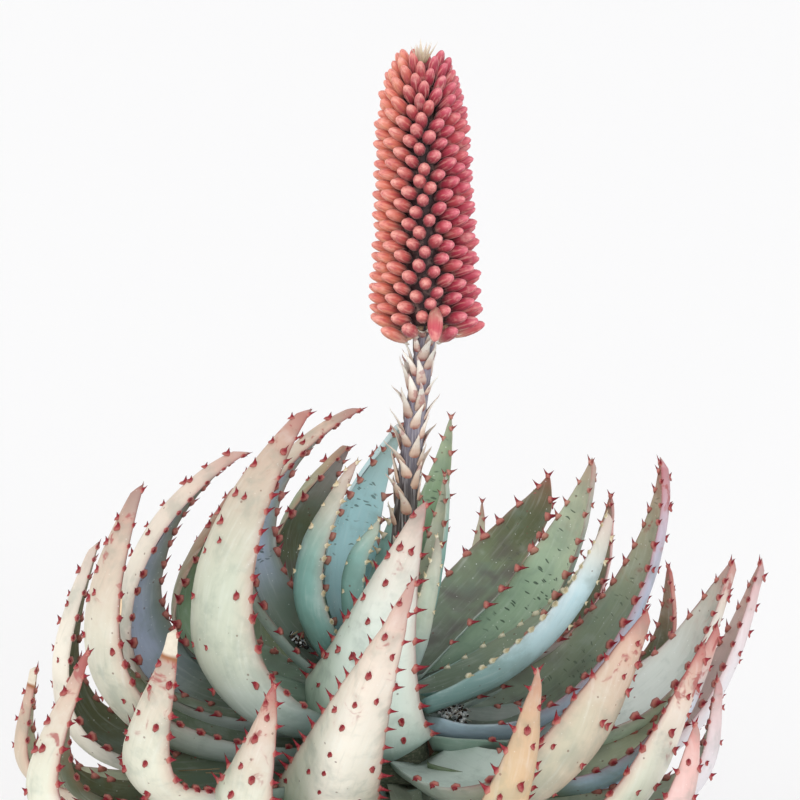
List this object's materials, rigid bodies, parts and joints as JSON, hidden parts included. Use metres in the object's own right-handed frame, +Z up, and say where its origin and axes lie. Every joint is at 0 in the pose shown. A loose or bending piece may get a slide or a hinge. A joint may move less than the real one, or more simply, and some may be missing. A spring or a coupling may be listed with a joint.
{
  "type": "potted red hot poker aloe",
  "caption": "Rosette aloe with thorny in-curving blue-green leaves and one upright spike of closed coral buds, growing in a plain clay pot.",
  "frame": {"origin": "middle of the pot's underside, on the surface it stands on", "axes": "+Z up, +X to the viewer's right, +Y away from the viewer"},
  "size_m": [0.5419, 0.4264, 0.783],
  "materials": {
    "terracotta": "matte",
    "soil": "matte",
    "stem": "matte",
    "blue_leaf": "satin",
    "pale_leaf": "satin",
    "stalk": "matte",
    "buds": "satin"
  },
  "bodies": {
    "root": {"pot": "terracotta", "soil": "soil", "stem": "stem", "flower_stalk": "stalk", "flower_head": "buds", "leaf_01": "blue_leaf", "leaf_02": "blue_leaf", "leaf_03": "blue_leaf", "leaf_04": "blue_leaf", "leaf_05": "blue_leaf", "leaf_06": "pale_leaf", "leaf_07": "blue_leaf", "leaf_08": "blue_leaf", "leaf_09": "blue_leaf", "leaf_10": "blue_leaf", "leaf_11": "pale_leaf", "leaf_12": "blue_leaf", "leaf_13": "blue_leaf", "leaf_14": "pale_leaf", "leaf_15": "blue_leaf", "leaf_16": "blue_leaf", "leaf_17": "blue_leaf", "leaf_18": "blue_leaf", "leaf_19": "pale_leaf", "leaf_20": "blue_leaf", "leaf_21": "pale_leaf", "leaf_22": "blue_leaf", "leaf_23": "pale_leaf", "leaf_24": "pale_leaf", "leaf_25": "blue_leaf", "leaf_26": "pale_leaf", "leaf_27": "pale_leaf", "leaf_28": "pale_leaf", "leaf_29": "blue_leaf", "leaf_30": "pale_leaf", "leaf_31": "pale_leaf", "leaf_32": "pale_leaf", "leaf_33": "blue_leaf", "leaf_34": "pale_leaf", "leaf_35": "blue_leaf", "leaf_36": "blue_leaf", "leaf_37": "pale_leaf", "leaf_38": "pale_leaf", "leaf_39": "pale_leaf", "leaf_40": "pale_leaf", "leaf_41": "blue_leaf", "leaf_42": "pale_leaf", "leaf_43": "pale_leaf", "leaf_44": "pale_leaf"}
  },
  "joints": []
}
